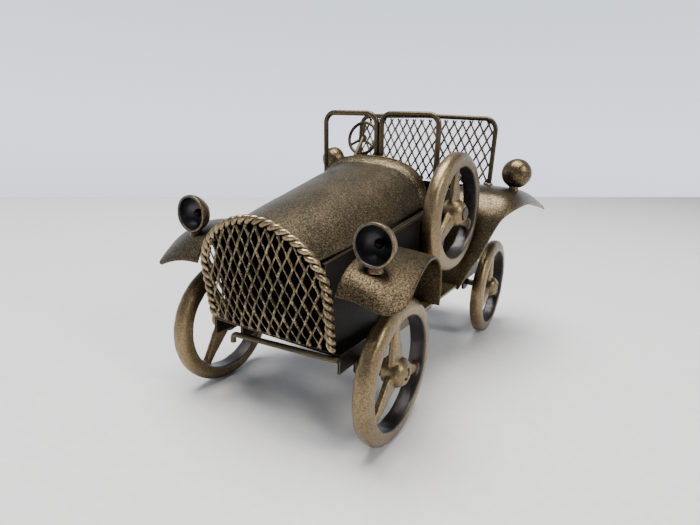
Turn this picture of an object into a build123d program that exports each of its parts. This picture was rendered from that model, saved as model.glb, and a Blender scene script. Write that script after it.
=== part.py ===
from build123d import *
import math
import os

# A sheet-metal and wire ornament of an open two-seat vintage car, in millimetres.
# +Z is up, the front of the car points to -Y, and its left-hand side is +X.
# The origin is on the ground, under the middle of the car's overall box.

# ---- driving dimensions ----
WHEEL_RADIUS = 22.6
WHEELBASE = 107.0
FRONT_AXLE_Y = -52.85
REAR_AXLE_Y = FRONT_AXLE_Y + WHEELBASE
WHEEL_CENTRE_X = 34.3
SHEET = 0.8
AXLE_RADIUS = 1.5
RUNNING_CLEARANCE = 0.06

# ---- wheels ----
RIM_DEPTH = 5.2
RIM_HALF_WIDTH = 2.9
HUB_RADIUS = 4.4
HUB_HALF_LENGTH = 3.2
SPARE_RADIUS = 21.0
SPOKE_COUNT = 3
SPOKE_THICKNESS = 2.2
SPOKE_ROOT_WIDTH = 6.4
SPOKE_TIP_WIDTH = 3.4
SPOKE_PHASE = {
    "wheel_front_left": 100.0,
    "wheel_front_right": 116.0,
    "wheel_rear_left": 95.0,
    "wheel_rear_right": 70.0,
    "spare_wheel": 98.0,
}

# ---- axles and their hangers ----
SPACER_THICKNESS = 1.0
SPACER_RADIUS = 2.8
CAP_RADIUS = 2.6
CAP_THICKNESS = 1.2
SIDE_PLAY = 0.15
HANGER_X = 22.4
HANGER_THICKNESS = 1.0
HANGER_WIDTH = 8.0
HANGER_BOTTOM = 19.0

# ---- chassis ----
CHASSIS_HALF_WIDTH = 24.2
CHASSIS_FRONT_Y = FRONT_AXLE_Y - 15.0
CHASSIS_REAR_Y = FRONT_AXLE_Y + 122.0
CHASSIS_TOP = 30.3
CHASSIS_BOTTOM = 24.5
BAR_RADIUS = 0.9

# ---- running boards ----
BOARD_OUTER_X = 34.4
BOARD_TOP = 36.0
BOARD_FRONT_Y = FRONT_AXLE_Y + 19.6
BOARD_REAR_Y = FRONT_AXLE_Y + 53.6

# ---- hood, grille and body ----
GRILLE_FOOT_Y = FRONT_AXLE_Y - 15.6
GRILLE_TOP_Y = FRONT_AXLE_Y - 22.4
GRILLE_HALF_WIDTH = 22.4
GRILLE_SHIFT = -0.8
GRILLE_POWER = 1.85
GRILLE_SPRING = 48.3
GRILLE_RISE = 17.8
GRILLE_FOOT = 31.0
GRILLE_THICKNESS = 0.9
MESH_PITCH_X = 3.55
MESH_PITCH_Z = 6.3
MESH_STRAND = 0.85
MESH_BORDER = 2.2
ROPE_RADIUS = 1.5
COWL_Y = FRONT_AXLE_Y + 43.0
COWL_HALF_WIDTH = 23.4
COWL_SPRING = 65.7
COWL_RISE = 17.4
HOOD_EDGE_FRONT = 57.0
HOOD_EDGE_REAR = 66.0
COWL_POWER = 2.5
WALL_FRONT_X = 20.6
WALL_REAR_X = 22.4
TUB_X = 23.2
TUB_TOP = 71.5
TUB_REAR_Y = FRONT_AXLE_Y + 93.0
DASH_Y = COWL_Y - 1.4
BENCH_FRONT_Y = FRONT_AXLE_Y + 66.0
BENCH_TOP = 57.0

# ---- windshield, seat back and steering ----
WIRE_RADIUS = 1.0
PANE_TOP_Y = FRONT_AXLE_Y + 46.0
PANE_FOOT_Y = FRONT_AXLE_Y + 48.0
PANE_TOP = 98.4
PANE_OUTER_X = 23.8
PANE_CORNER = 4.0
TAB_TOP = 80.6
TAB_HALF_WIDTH = 2.4
SEAT_Y = FRONT_AXLE_Y + 91.0
SEAT_HALF_WIDTH = 32.6
SEAT_TOP = 99.8
SEAT_FOOT = 71.4
SEAT_CORNER = 5.0
SEAT_BOW = 0.7
STEER_CENTRE = (-12.0, FRONT_AXLE_Y + 56.0, 89.2)
STEER_RADIUS = 6.3
STEER_WIRE = 0.65
STEER_TILT = 12.0
STEER_HUB = 1.6

# ---- lamps ----
LAMP_RADIUS = 5.9
LAMP_SHELL = 0.7
LAMP_LIP = 0.65
BULB_RADIUS = 1.5
POST_RADIUS = 2.4
HEADLAMP = (32.7, FRONT_AXLE_Y - 15.8, 63.2)
REAR_LAMP = (44.5, FRONT_AXLE_Y + 86.0, 78.4)

# ---- spare wheel ----
SPARE_CENTRE = (33.2, FRONT_AXLE_Y + 43.0, 65.4)
SPARE_YAW = 4.0
STUD_RADIUS = 1.5
STUD_LENGTH = 11.8
NUT_RADIUS = 2.4
NUT_HEIGHT = 1.4

# Stations of a front fender from its front edge, over the wheel, to the foot of its rear drop:
# distance behind the front axle, height at the body, height at the outer edge, outer edge X.
FRONT_FENDER = (
    (-21.0, 49.6, 45.4, 43.7),
    (-19.2, 53.0, 47.2, 43.6),
    (-16.5, 55.6, 49.6, 43.4),
    (-12.5, 57.4, 52.7, 43.1),
    (-7.5, 58.6, 55.2, 42.5),
    (-2.0, 59.2, 57.0, 41.8),
    (4.0, 59.0, 57.6, 41.1),
    (9.0, 58.1, 56.8, 40.8),
    (12.6, 55.7, 54.5, 40.8),
    (14.9, 51.6, 50.8, 40.8),
    (15.8, 46.4, 46.2, 40.8),
    (15.8, 40.3, 40.3, 40.8),
)

# Stations of a rear fender from the foot of its front face to its rear edge, in the same terms.
REAR_FENDER = (
    (54.2, 34.8, 34.2, 34.9),
    (57.8, 42.6, 41.8, 37.7),
    (60.4, 49.0, 47.1, 40.2),
    (62.9, 57.0, 54.7, 42.7),
    (65.2, 63.0, 61.0, 45.1),
    (68.6, 67.6, 64.3, 47.6),
    (73.0, 70.9, 65.9, 49.5),
    (81.0, 72.5, 66.8, 51.0),
    (92.0, 72.2, 66.6, 51.7),
    (105.0, 70.2, 65.4, 51.7),
    (117.0, 66.8, 63.4, 51.7),
    (128.2, 62.6, 60.8, 51.7),
)
FENDER_INNER_X = 25.2
FRONT_DROOP_POWER = 2.2
REAR_DROOP_POWER = 7.0
FRONT_CORNER = 6.0
RIGHT_FRONT_CORNER = 1.5
RIGHT_FRONT_LIFT = 1.0
SHEET_COLUMNS = 6


def save(node, *solids):
    """Writes one sub-part, as one solid or as a group of separate solids."""
    shape = solids[0] if len(solids) == 1 else Compound(children=list(solids))
    shape.label = node
    export_step(shape, os.path.join("parts", node + ".step"))


def other_side(shape):
    """The same piece on the car's right-hand side."""
    return mirror(shape, about=Plane.YZ)


def blend(start, end, share):
    return start + (end - start) * share


def box_between(low, high):
    """A box from its lowest corner to its highest."""
    size = [high[i] - low[i] for i in range(3)]
    middle = [(high[i] + low[i]) / 2 for i in range(3)]
    return Pos(*middle) * Box(*size)


def rod(start, end, radius):
    """A round bar between two points."""
    axis = Vector(*end) - Vector(*start)
    plane = Plane(origin=start, z_dir=axis)
    return extrude(plane * Circle(radius), amount=axis.length)


def wire_bar(path, radius):
    """A round wire bent along a path."""
    start = Plane(origin=path @ 0, z_dir=path % 0)
    return sweep(start * Circle(radius), path=path)


def fitted(piece, *neighbours):
    """The main part of a piece that is left outside the pieces it is joined to."""
    for neighbour in neighbours:
        piece -= neighbour
    return piece.solids().sort_by(SortBy.VOLUME)[-1]


def bent_sheet(point, rows, columns):
    """Sheet metal on the surface that point(row, share across) describes."""
    grid = [[Vector(*point(i, j / columns)) for j in range(columns + 1)] for i in range(rows)]
    return Solid.thicken(Face.make_surface_from_array_of_points(grid), SHEET)


# ---- wheels ----

def wheel(phase, radius=WHEEL_RADIUS):
    """A cast wheel about the X axis, with its middle at the origin."""
    inner = radius - RIM_DEPTH
    section = RectangleRounded(2 * RIM_HALF_WIDTH, RIM_DEPTH, RIM_DEPTH * 0.42)
    rim_profile = Plane.XZ * Pos(0, inner + RIM_DEPTH / 2) * section
    body = revolve(rim_profile, Axis.X)
    hub = extrude(Plane.YZ * Circle(HUB_RADIUS), amount=HUB_HALF_LENGTH, both=True)
    body += chamfer(hub.edges().filter_by(GeomType.CIRCLE), 0.9)
    reach = inner + RIM_DEPTH / 3
    outline = Polyline(
        (0, -SPOKE_ROOT_WIDTH / 2),
        (reach, -SPOKE_TIP_WIDTH / 2),
        (reach, SPOKE_TIP_WIDTH / 2),
        (0, SPOKE_ROOT_WIDTH / 2),
        close=True,
    )
    spoke = extrude(Plane.YZ * make_face(outline), amount=SPOKE_THICKNESS / 2, both=True)
    for i in range(SPOKE_COUNT):
        body += Rot(phase + i * 360 / SPOKE_COUNT, 0, 0) * spoke
    bore = AXLE_RADIUS + RUNNING_CLEARANCE
    return body - extrude(Plane.YZ * Circle(bore), amount=2 * HUB_HALF_LENGTH, both=True)


def make_wheels():
    for node in ("wheel_front_left", "wheel_front_right", "wheel_rear_left", "wheel_rear_right"):
        x = WHEEL_CENTRE_X if node.endswith("left") else -WHEEL_CENTRE_X
        y = FRONT_AXLE_Y if "front" in node else REAR_AXLE_Y
        save(node, Pos(x, y, WHEEL_RADIUS) * wheel(SPOKE_PHASE[node]))


def make_spare():
    """The spare stands ahead of the rear fender, on a stud that comes out of the body's side."""
    place = Pos(*SPARE_CENTRE) * Rot(0, 0, -SPARE_YAW)
    save("spare_wheel", place * wheel(SPOKE_PHASE["spare_wheel"], SPARE_RADIUS))
    nut_x = HUB_HALF_LENGTH + SIDE_PLAY
    save("spare_stud", place * rod((nut_x - STUD_LENGTH, 0, 0), (nut_x, 0, 0), STUD_RADIUS))
    nut = extrude(Plane.YZ * RegularPolygon(NUT_RADIUS, 6), amount=NUT_HEIGHT)
    save("spare_nut", place * Pos(nut_x, 0, 0) * nut)


def make_axle(which, y):
    """An axle rod, the caps and spacers that keep its wheels on, and the hangers that hold it."""
    cap_x = WHEEL_CENTRE_X + HUB_HALF_LENGTH + SIDE_PLAY
    save(which + "_axle", rod((-cap_x, y, WHEEL_RADIUS), (cap_x, y, WHEEL_RADIUS), AXLE_RADIUS))
    cap = extrude(Plane.YZ * Circle(CAP_RADIUS), amount=CAP_THICKNESS)
    cap = Pos(cap_x, y, WHEEL_RADIUS) * chamfer(cap.edges().group_by(Axis.X)[-1], 0.5)
    save(which + "_axle_caps", cap, other_side(cap))
    ring = Circle(SPACER_RADIUS) - Circle(AXLE_RADIUS + 0.02)
    spacer_x = WHEEL_CENTRE_X - HUB_HALF_LENGTH - SIDE_PLAY - SPACER_THICKNESS
    spacer = Pos(spacer_x, y, WHEEL_RADIUS) * extrude(Plane.YZ * ring, amount=SPACER_THICKNESS)
    save(which + "_axle_spacers", spacer, other_side(spacer))
    top = CHASSIS_TOP - SHEET
    height = top - HANGER_BOTTOM
    plate = Pos(0, (top + HANGER_BOTTOM) / 2) * RectangleRounded(HANGER_WIDTH, height, 2.0)
    plate -= Pos(0, WHEEL_RADIUS) * Circle(AXLE_RADIUS + 0.02)
    hanger = Pos(HANGER_X, y, 0) * extrude(Plane.YZ * plate, amount=HANGER_THICKNESS)
    save(which + "_axle_hangers", hanger, other_side(hanger))


# ---- chassis ----

def make_chassis():
    """An inverted channel: a top sheet with a flange folded down along each side."""
    half, inner = CHASSIS_HALF_WIDTH, CHASSIS_HALF_WIDTH - SHEET
    outline = Polyline(
        (-half, CHASSIS_BOTTOM), (-half, CHASSIS_TOP), (half, CHASSIS_TOP), (half, CHASSIS_BOTTOM),
        (inner, CHASSIS_BOTTOM), (inner, CHASSIS_TOP - SHEET), (-inner, CHASSIS_TOP - SHEET),
        (-inner, CHASSIS_BOTTOM), close=True,
    )
    front = Plane(origin=(0, CHASSIS_FRONT_Y, 0), x_dir=(1, 0, 0), z_dir=(0, -1, 0))
    channel = extrude(front * make_face(outline), amount=CHASSIS_FRONT_Y - CHASSIS_REAR_Y)
    save("chassis", channel)


def make_front_bar():
    """A wire under the grille, with its right-hand end curled down and the other a little higher."""
    y, z = CHASSIS_FRONT_Y - BAR_RADIUS, CHASSIS_TOP - 1.2
    end = CHASSIS_HALF_WIDTH - 0.2
    path = FilletPolyline((-15.2, y, z - 5.0), (-15.2, y, z - 2.2), (end, y, z), radius=1.6)
    save("front_bar", wire_bar(path, BAR_RADIUS))


def make_running_boards():
    """A step on each side, with a leg welded to the chassis flange."""
    leg_x = CHASSIS_HALF_WIDTH + 0.1
    step = box_between((leg_x, BOARD_FRONT_Y, BOARD_TOP - SHEET), (BOARD_OUTER_X, BOARD_REAR_Y, BOARD_TOP))
    leg = box_between((leg_x, BOARD_FRONT_Y, CHASSIS_BOTTOM), (leg_x + SHEET, BOARD_REAR_Y, BOARD_TOP))
    save("running_board_left", step + leg)
    save("running_board_right", other_side(step + leg))


# ---- fenders ----

def fender_point(stations, droop, lift=0.0):
    """Points of a fender's sheet, which may bulge up a little more than its stations say."""
    start, end = stations[0][0], stations[-1][0]

    def point(row, across):
        back, crown, edge, outer = stations[row]
        x = blend(FENDER_INNER_X, outer, across)
        bulge = lift * math.sin(math.pi * ((back - start) / (end - start)) ** 0.6)
        return x, FRONT_AXLE_Y + back, blend(crown, edge, across ** droop) + bulge
    return point


def front_fender(corner, lift):
    """A front fender, with the outer corner of its front edge rounded off."""
    sheet = bent_sheet(fender_point(FRONT_FENDER, FRONT_DROOP_POWER, lift), len(FRONT_FENDER), SHEET_COLUMNS)
    front = FRONT_AXLE_Y + FRONT_FENDER[0][0] - SHEET
    rear = FRONT_AXLE_Y + FRONT_FENDER[-1][0] + 5 * SHEET
    inner, outer = FENDER_INNER_X - 5.0, FRONT_FENDER[0][3] + SHEET / 2
    plan = Pos((inner + outer) / 2, (front + rear) / 2) * Rectangle(outer - inner, rear - front)
    front_outer = plan.vertices().sort_by(Axis.Y)[:2].sort_by(Axis.X)[-1]
    return sheet & extrude(fillet(front_outer, corner), amount=100.0)


def make_fenders():
    """Four fenders; the right-hand front one bulges a little higher and has a sharper corner."""
    front = front_fender(FRONT_CORNER, 0.0)
    front_right = other_side(front_fender(RIGHT_FRONT_CORNER, RIGHT_FRONT_LIFT))
    save("front_fender_left", front)
    save("front_fender_right", front_right)
    rear = bent_sheet(fender_point(REAR_FENDER, REAR_DROOP_POWER), len(REAR_FENDER), SHEET_COLUMNS)
    save("rear_fender_left", rear)
    save("rear_fender_right", other_side(rear))
    return front, front_right, rear


# ---- hood and body ----

def grille_y(z):
    """How far forward the leaning grille is at a height."""
    top = GRILLE_SPRING + GRILLE_RISE
    return blend(GRILLE_FOOT_Y, GRILLE_TOP_Y, (z - GRILLE_FOOT) / (top - GRILLE_FOOT))


def hood_point(rows):
    """The hood's arch grows from the grille's round top to the cowl's squarer one."""
    def point(row, across):
        s = row / (rows - 1)
        half = blend(GRILLE_HALF_WIDTH, COWL_HALF_WIDTH, s)
        spring = blend(GRILLE_SPRING, COWL_SPRING, s)
        rise = blend(GRILLE_RISE, COWL_RISE, s)
        power = blend(GRILLE_POWER, COWL_POWER, s)
        edge = blend(HOOD_EDGE_FRONT, HOOD_EDGE_REAR, s)
        start = math.asin(((edge - spring) / rise) ** (power / 2))
        angle = blend(start, math.pi - start, across)
        x = half * math.copysign(abs(math.cos(angle)) ** (2 / power), math.cos(angle))
        z = spring + rise * math.sin(angle) ** (2 / power)
        front = grille_y(GRILLE_SPRING + GRILLE_RISE * math.sin(angle)) + ROPE_RADIUS + 0.4
        return x + GRILLE_SHIFT * (1 - s), blend(front, COWL_Y, s), z
    return point


def arch_crown(half, spring, rise, power):
    """Points over the top of an arch, from its left side to its right."""
    steps = 16
    crown = []
    for i in range(steps + 1):
        angle = math.pi * (1 - i / steps)
        x = half * math.copysign(abs(math.cos(angle)) ** (2 / power), math.cos(angle))
        crown.append((x, spring + rise * math.sin(angle) ** (2 / power)))
    return crown


def arch_face(plane, half, spring, rise, power, foot):
    """A flat arch-topped face in the plane's own X and Y."""
    top = Spline(*arch_crown(half, spring, rise, power), tangents=[(0, 1), (0, -1)])
    sides = Polyline((half, spring), (half, foot), (-half, foot), (-half, spring))
    return plane * make_face([top, sides])


def make_hood():
    rows = 5
    save("hood", bent_sheet(hood_point(rows), rows, 16))


def make_dashboard():
    plane = Plane(origin=(0, DASH_Y, 0), x_dir=(1, 0, 0), z_dir=(0, -1, 0))
    half, spring, rise = COWL_HALF_WIDTH - 1.6, COWL_SPRING - 1.6, COWL_RISE - 0.6
    face = arch_face(plane, half, spring, rise, COWL_POWER, CHASSIS_TOP)
    save("dashboard", extrude(face, amount=SHEET))


def make_side_walls():
    """Engine-bay walls between the chassis and the hood's lower edges."""
    y0, y1 = GRILLE_FOOT_Y + 3.4, DASH_Y - 1.2
    run = Vector(WALL_REAR_X - WALL_FRONT_X, y1 - y0, 0)
    plane = Plane(origin=(WALL_FRONT_X, y0, 0), x_dir=run, z_dir=Vector(run.Y, -run.X, 0))
    lean = GRILLE_TOP_Y - GRILLE_FOOT_Y
    outline = Polyline(
        (0, CHASSIS_TOP), (run.length, CHASSIS_TOP), (run.length, HOOD_EDGE_REAR - 0.6),
        (lean, HOOD_EDGE_FRONT - 0.2), close=True,
    )
    wall = extrude(plane * make_face(outline), amount=-SHEET)
    save("engine_wall_left", wall)
    save("engine_wall_right", other_side(wall))


def make_hood_ledges():
    """The narrow strip folded out along the hood's lower edge, ahead of the cowl."""
    start, end = FRONT_AXLE_Y + 10.0, COWL_Y
    s0 = (start - GRILLE_TOP_Y) / (COWL_Y - GRILLE_TOP_Y)
    z0, z1 = blend(HOOD_EDGE_FRONT, HOOD_EDGE_REAR, s0), HOOD_EDGE_REAR
    strip = Polyline((start, z0 - 1.4), (end, z1 - 1.4), (end, z1 - 0.5), (start, z0 - 0.5), close=True)
    ledge = extrude(Plane.YZ * make_face(strip), amount=1.7)
    save("hood_ledge_left", Pos(WALL_REAR_X + 0.5, 0, 0) * ledge)
    save("hood_ledge_right", other_side(Pos(WALL_REAR_X + 0.5, 0, 0) * ledge))


def make_tub():
    """Cockpit sides, the panel behind the seat and the bench."""
    y0, y1 = COWL_Y + 0.3, TUB_REAR_Y
    side = Polyline(
        (y0, CHASSIS_TOP), (y1, CHASSIS_TOP), (y1, TUB_TOP), (y0 + 6.0, TUB_TOP),
        (y0, TUB_TOP - 4.0), close=True,
    )
    wall = Pos(TUB_X, 0, 0) * extrude(Plane.YZ * make_face(side), amount=SHEET)
    save("tub_side_left", wall)
    save("tub_side_right", other_side(wall))
    inner = TUB_X - 0.05
    save("rear_panel", box_between((-inner, y1 - SHEET, CHASSIS_TOP), (inner, y1, TUB_TOP)))
    front = box_between((-inner, BENCH_FRONT_Y, CHASSIS_TOP), (inner, BENCH_FRONT_Y + SHEET, BENCH_TOP))
    top = box_between((-inner, BENCH_FRONT_Y, BENCH_TOP - SHEET), (inner, y1 - SHEET - 0.05, BENCH_TOP))
    save("seat_bench", front + top)


# ---- grille ----

def grille_plane():
    """The grille leans forward: this plane's Y runs up along it from the ground."""
    run = Vector(0, GRILLE_TOP_Y - GRILLE_FOOT_Y, GRILLE_SPRING + GRILLE_RISE - GRILLE_FOOT)
    origin = Vector(GRILLE_SHIFT, GRILLE_FOOT_Y, GRILLE_FOOT)
    return Plane(origin=origin, x_dir=(1, 0, 0), z_dir=Vector(1, 0, 0).cross(run)), run.length


def diamond(width, height):
    corners = (-width / 2, 0), (0, -height / 2), (width / 2, 0), (0, height / 2)
    return make_face(Polyline(*corners, close=True))


def mesh_holes(half_width, height):
    """Diamond openings of expanded metal, over a region about the plane's origin."""
    hole = diamond(MESH_PITCH_X - 1.25 * MESH_STRAND, MESH_PITCH_Z - 2.2 * MESH_STRAND)
    places = []
    for row in range(int(2 * height / MESH_PITCH_Z) + 2):
        shift = MESH_PITCH_X / 2 if row % 2 else 0.0
        count = int(half_width / MESH_PITCH_X) + 1
        for column in range(-count, count + 1):
            places.append((column * MESH_PITCH_X + shift, row * MESH_PITCH_Z / 2))
    return [Pos(x, y) * hole for x, y in places]


def make_grille():
    """A leaning arch of mesh with a round bar along its edge, open at the bottom."""
    plane, height = grille_plane()
    spring = height - GRILLE_RISE
    border = ROPE_RADIUS + 0.05
    outline = arch_face(
        Plane.XY, GRILLE_HALF_WIDTH - border, spring, GRILLE_RISE - border, GRILLE_POWER, 0.0
    )
    holes = [hole for hole in mesh_holes(GRILLE_HALF_WIDTH, height) if inside(hole, spring)]
    save("grille_mesh", extrude(plane * (outline - holes), amount=GRILLE_THICKNESS))
    left = [(-GRILLE_HALF_WIDTH, 0.4), (-GRILLE_HALF_WIDTH, spring / 2)]
    crown = arch_crown(GRILLE_HALF_WIDTH, spring, GRILLE_RISE, GRILLE_POWER)
    right = [(GRILLE_HALF_WIDTH, spring / 2), (GRILLE_HALF_WIDTH, 0.4)]
    path = Spline(*left, *crown, *right, tangents=[(0, 1), (0, -1)])
    save("grille_rope", wire_bar(plane.location * path, ROPE_RADIUS))


def inside(hole, spring):
    """Whether a diamond lies wholly inside the arch's border."""
    half, rise = GRILLE_HALF_WIDTH - MESH_BORDER, GRILLE_RISE - MESH_BORDER
    for vertex in hole.vertices():
        x, y = abs(vertex.X) / half, (vertex.Y - spring) / rise
        if x > 1 or vertex.Y < 0.8:
            return False
        if y > 0 and x ** GRILLE_POWER + y ** GRILLE_POWER > 1:
            return False
    return True


# ---- windshield, seat back and steering ----

def pane_path(x0, x1, foot0, foot1):
    """A wire bent over two round corners, leaning forward from its feet to its top."""
    corners = (
        (x0, PANE_FOOT_Y, foot0), (x0, PANE_TOP_Y, PANE_TOP),
        (x1, PANE_TOP_Y, PANE_TOP), (x1, PANE_FOOT_Y, foot1),
    )
    return FilletPolyline(*corners, radius=PANE_CORNER)


def make_windshield():
    gap = WIRE_RADIUS + 0.05
    left = wire_bar(pane_path(PANE_OUTER_X, gap, TUB_TOP + 0.1, TAB_TOP + 0.1), WIRE_RADIUS)
    save("windshield_frame_left", left)
    save("windshield_frame_right", other_side(left))
    rear = PANE_FOOT_Y + 1.2
    tab = box_between((-TAB_HALF_WIDTH, DASH_Y, TAB_TOP - SHEET), (TAB_HALF_WIDTH, rear, TAB_TOP))
    save("windshield_tab", tab)


def make_seat_back(fender):
    corners = (
        (-SEAT_HALF_WIDTH, SEAT_Y, SEAT_FOOT), (-SEAT_HALF_WIDTH, SEAT_Y, SEAT_TOP),
        (0, SEAT_Y, SEAT_TOP + SEAT_BOW),
        (SEAT_HALF_WIDTH, SEAT_Y, SEAT_TOP), (SEAT_HALF_WIDTH, SEAT_Y, SEAT_FOOT),
    )
    frame = wire_bar(FilletPolyline(*corners, radius=SEAT_CORNER), WIRE_RADIUS)
    save("seat_back_frame", fitted(frame, fender, other_side(fender)))
    height = SEAT_TOP - SEAT_FOOT - 2 * WIRE_RADIUS
    width = 2 * (SEAT_HALF_WIDTH - WIRE_RADIUS)
    panel = Pos(0, height / 2) * Rectangle(width, height)
    panel = fillet(panel.vertices().group_by(Axis.Y)[-1], SEAT_CORNER - WIRE_RADIUS)
    keep = []
    for hole in mesh_holes(width / 2, height):
        corner = max(abs(v.X) for v in hole.vertices()), max(v.Y for v in hole.vertices())
        lowest = min(v.Y for v in hole.vertices())
        if corner[0] < width / 2 - 0.8 and corner[1] < height - 0.8 and lowest > 0.8:
            if corner[0] + corner[1] < width / 2 + height - 3.2:
                keep.append(hole)
    origin = (0, SEAT_Y + GRILLE_THICKNESS / 2, SEAT_FOOT + WIRE_RADIUS)
    plane = Plane(origin=origin, x_dir=(1, 0, 0), z_dir=(0, -1, 0))
    save("seat_back_mesh", extrude(plane * (panel - keep), amount=GRILLE_THICKNESS))


def make_steering():
    """A wire rim with three spokes on a hub, at the head of a column from the dashboard."""
    place = Pos(*STEER_CENTRE) * Rot(90 - STEER_TILT, 0, 0)
    rim = place * Torus(STEER_RADIUS, STEER_WIRE)
    save("steering_rim", rim)
    hub = extrude(Circle(STEER_HUB), amount=STEER_WIRE, both=True)
    for angle in (90, 210, 330):
        hub += Rot(0, 0, angle) * rod((0, 0, 0), (STEER_RADIUS, 0, 0), STEER_WIRE * 0.8)
    hub = fitted(place * hub, rim)
    save("steering_spokes", hub)
    foot = (STEER_CENTRE[0], DASH_Y + 0.5, 72.0)
    save("steering_column", fitted(rod(STEER_CENTRE, foot, 0.8), hub))


# ---- lamps ----

def lamp_cup():
    """A half-ball cup about the origin, open towards -Y, with a rolled lip."""
    ball = Sphere(LAMP_RADIUS) - Sphere(LAMP_RADIUS - LAMP_SHELL)
    front = box_between((-9, -9, -9), (9, 0, 9))
    lip = Rot(90, 0, 0) * Torus(LAMP_RADIUS - LAMP_SHELL / 2, LAMP_LIP)
    return ball - front + lip


def lamp_bulb():
    """A small round bulb on a short foot at the bottom of the cup."""
    depth = LAMP_RADIUS - LAMP_SHELL
    foot = rod((0, depth - 1.9, 0), (0, depth + 0.2, 0), 0.9)
    return foot + Pos(0, depth - 2.2, 0) * Sphere(BULB_RADIUS)


def make_lamp(name, centre, turn, left_fender, right_fender, foot):
    """A lamp on each side, with its bulb and the post that stands it on the fender."""
    drop = foot - centre[2]
    place = Pos(*centre) * Rot(0, 0, turn)
    cup = place * lamp_cup()
    save(name + "_left", cup)
    save(name + "_right", other_side(cup))
    bulb = fitted(place * lamp_bulb(), cup)
    save(name + "_bulbs", bulb, other_side(bulb))
    post = place * Pos(0, LAMP_RADIUS * 0.35, 0) * rod((0, 0, drop), (0, 0, 0), POST_RADIUS)
    ball = Pos(*centre) * Sphere(LAMP_RADIUS)
    left = fitted(post, ball, cup, left_fender)
    right = fitted(other_side(post), other_side(ball), other_side(cup), right_fender)
    save(name + "_posts", left, right)


os.makedirs("parts", exist_ok=True)
make_wheels()
make_axle("front", FRONT_AXLE_Y)
make_axle("rear", REAR_AXLE_Y)
make_chassis()
make_front_bar()
make_running_boards()
left_fender, right_fender, rear_fender = make_fenders()
make_hood()
make_dashboard()
make_side_walls()
make_hood_ledges()
make_tub()
make_spare()
make_grille()
make_windshield()
make_seat_back(rear_fender)
make_steering()
make_lamp("headlamp", HEADLAMP, 0, left_fender, right_fender, 55.6)
make_lamp("rear_lamp", REAR_LAMP, 180, rear_fender, other_side(rear_fender), 71.0)
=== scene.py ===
"""An open two-seat vintage car ornament in antique bronze sheet metal, cast wheels and wire.

Lengths are in metres. +Z is up, the front of the car is towards -Y, and its left side is +X.
"""
import math
import random

import bmesh
import bpy
from mathutils import Matrix, Vector, noise


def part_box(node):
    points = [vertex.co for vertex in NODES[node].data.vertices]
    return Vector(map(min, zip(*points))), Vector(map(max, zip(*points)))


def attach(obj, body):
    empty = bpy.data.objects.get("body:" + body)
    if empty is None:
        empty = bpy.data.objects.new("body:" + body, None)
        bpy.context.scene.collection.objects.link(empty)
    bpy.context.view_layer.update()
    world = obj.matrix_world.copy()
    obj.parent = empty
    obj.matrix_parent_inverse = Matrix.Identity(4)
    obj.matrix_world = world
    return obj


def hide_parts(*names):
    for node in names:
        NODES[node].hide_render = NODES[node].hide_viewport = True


MM = 0.001
SIDES = (("left", 1), ("right", -1))

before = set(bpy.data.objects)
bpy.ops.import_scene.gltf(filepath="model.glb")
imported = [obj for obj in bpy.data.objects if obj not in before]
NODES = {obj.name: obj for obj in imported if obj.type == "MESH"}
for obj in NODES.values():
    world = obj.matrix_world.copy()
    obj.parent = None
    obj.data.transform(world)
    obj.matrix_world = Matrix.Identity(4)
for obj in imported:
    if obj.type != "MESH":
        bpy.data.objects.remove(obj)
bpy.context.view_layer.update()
BODY = "car"


# ---- where the CAD puts things ----

def centre(node):
    low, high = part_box(node)
    return (Vector(low) + Vector(high)) / 2


def size(node):
    low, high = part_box(node)
    return Vector(high) - Vector(low)


FRONT_AXLE = centre("front_axle")
SHEET = 0.8 * MM


def behind_axle(distance):
    """Y of a point a distance in millimetres behind the front axle."""
    return FRONT_AXLE.y + distance * MM


# ---- small geometry helpers ----

def blend(start, end, share):
    return start + (end - start) * share


def smooth_step(share):
    share = min(max(share, 0.0), 1.0)
    return share * share * (3 - 2 * share)


def through(values, t):
    """A smooth curve through evenly numbered values, at t from 0 to 1 over all of them."""
    place = min(max(t, 0.0), 1.0) * (len(values) - 1)
    i = min(int(place), len(values) - 2)
    f = place - i
    p1, p2 = values[i], values[i + 1]
    p0 = values[i - 1] if i > 0 else 2 * p1 - p2
    p3 = values[i + 2] if i + 2 < len(values) else 2 * p2 - p1
    return 0.5 * (2 * p1 + (p2 - p0) * f + (2 * p0 - 5 * p1 + 4 * p2 - p3) * f ** 2
                  + (3 * p1 - p0 - 3 * p2 + p3) * f ** 3)


def add_piece(name, verts, faces, body=BODY, material=None, replaces=(), smooth=True):
    """A mesh piece that rides on a body and takes its finish from a material slot."""
    mesh = bpy.data.meshes.new(name)
    mesh.from_pydata([tuple(v) for v in verts], [], faces)
    mesh.validate()
    fix = bmesh.new()
    fix.from_mesh(mesh)
    bmesh.ops.recalc_face_normals(fix, faces=fix.faces)
    fix.to_mesh(mesh)
    fix.free()
    mesh.polygons.foreach_set("use_smooth", [smooth] * len(mesh.polygons))
    piece = bpy.data.objects.new(name, mesh)
    bpy.context.scene.collection.objects.link(piece)
    if material:
        mesh.materials.append(material)
    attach(piece, body)
    if replaces:
        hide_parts(*replaces)
    return piece


def grid_faces(rows, columns, start=0, wrap=False):
    """Quads between rows of points that were added one row after another."""
    faces = []
    for i in range(rows - 1):
        for j in range(columns if wrap else columns - 1):
            k = (j + 1) % columns
            a, b = start + i * columns + j, start + i * columns + k
            faces.append((a, b, b + columns, a + columns))
    return faces


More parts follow.
